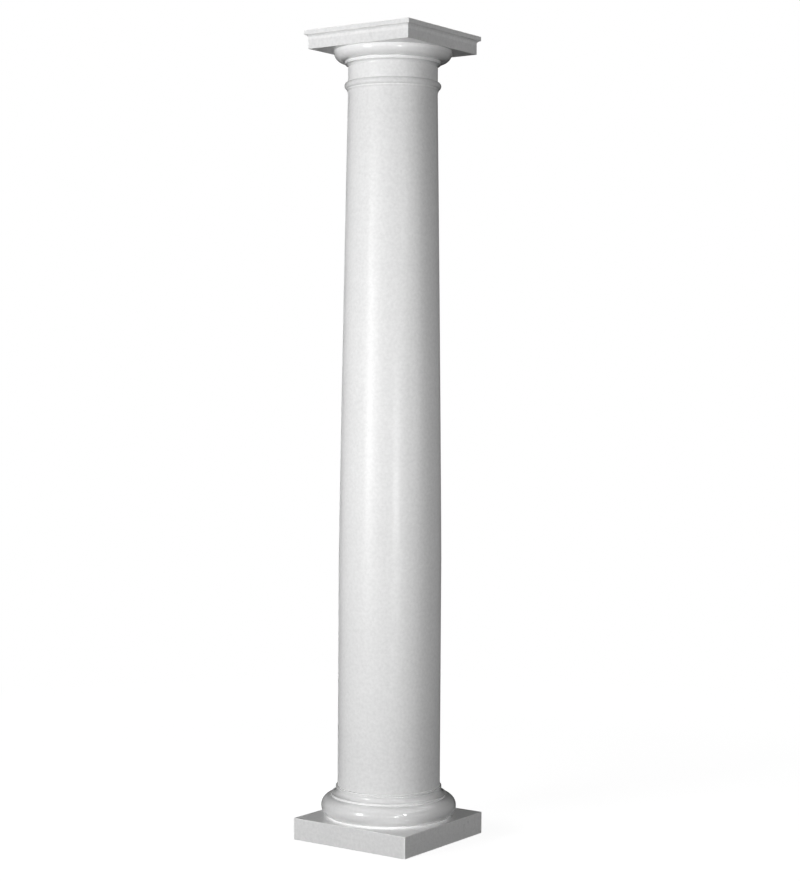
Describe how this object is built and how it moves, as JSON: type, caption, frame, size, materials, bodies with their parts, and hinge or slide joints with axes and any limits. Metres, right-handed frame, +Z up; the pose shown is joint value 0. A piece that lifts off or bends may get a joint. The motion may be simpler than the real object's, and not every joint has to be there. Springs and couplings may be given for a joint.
{
  "type": "doric column",
  "caption": "Smooth round column with a swelling taper, a turned base on a square plinth, and a plain capital under a square abacus.",
  "frame": {"origin": "on the ground, under the middle of the plinth", "axes": "+Z up along the column's axis; X and Y are square to the faces of the plinth and the abacus"},
  "size_m": [0.412, 0.412, 2.438],
  "materials": {
    "block_paint": "smooth semi-gloss white paint over moulded composite",
    "moulding_paint": "glossy white paint over moulded composite",
    "shaft_paint": "satin white paint with a faint orange peel over moulded composite"
  },
  "bodies": {
    "root": {"plinth": "block_paint", "base_ring": "moulding_paint", "shaft": "shaft_paint", "echinus": "moulding_paint", "abacus": "block_paint"}
  },
  "joints": []
}
